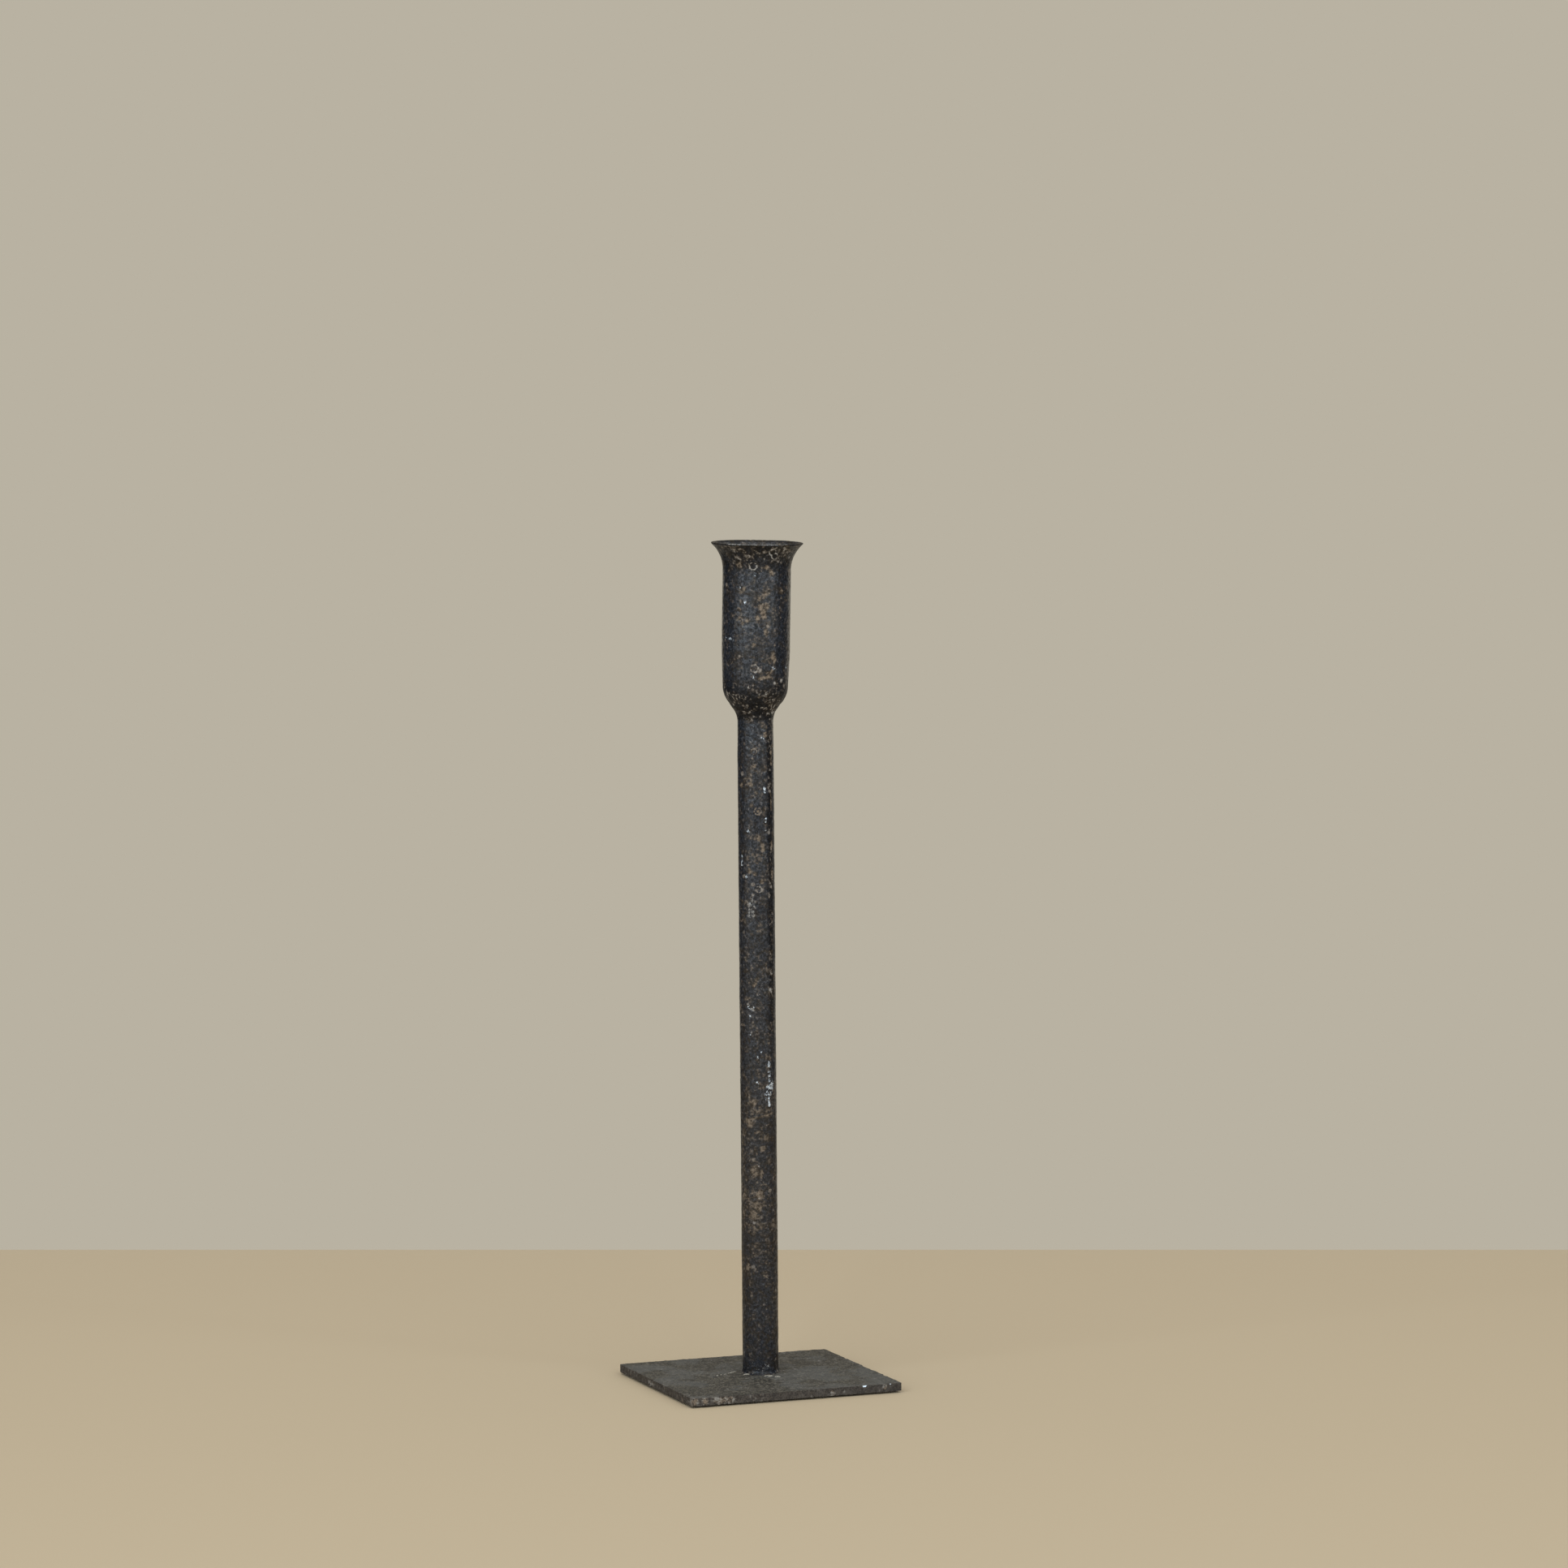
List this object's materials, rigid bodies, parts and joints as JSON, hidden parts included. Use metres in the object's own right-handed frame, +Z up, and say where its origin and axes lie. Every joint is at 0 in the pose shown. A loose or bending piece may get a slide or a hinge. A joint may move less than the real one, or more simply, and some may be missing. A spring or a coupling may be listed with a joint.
{
  "type": "taper candle holder",
  "caption": "Tall candle holder: round iron bar stem welded upright on a flat rectangular plate with thin pads, carrying a pipe socket with a flared lip for one taper candle.",
  "frame": {"origin": "middle of the base plate's outline, on the surface that the pads stand on", "axes": "+Z up along the stem, +X along the plate's longer side, +Y along its shorter side, away from the front edge"},
  "size_m": [0.087, 0.078, 0.3271],
  "materials": {
    "plate_iron": "blackened mill scale, matte, sheared edges",
    "bar_iron": "blackened and waxed, half gloss, finely pitted with tan specks",
    "weld_iron": "blackened weld metal",
    "pad_rubber": "matte black rubber"
  },
  "bodies": {
    "root": {"base_plate": "plate_iron", "pad_front_left": "pad_rubber", "pad_front_right": "pad_rubber", "pad_back_left": "pad_rubber", "pad_back_right": "pad_rubber", "foot_weld": "weld_iron", "stem_bar": "bar_iron", "neck_weld": "weld_iron", "socket_cup": "bar_iron"}
  },
  "joints": []
}
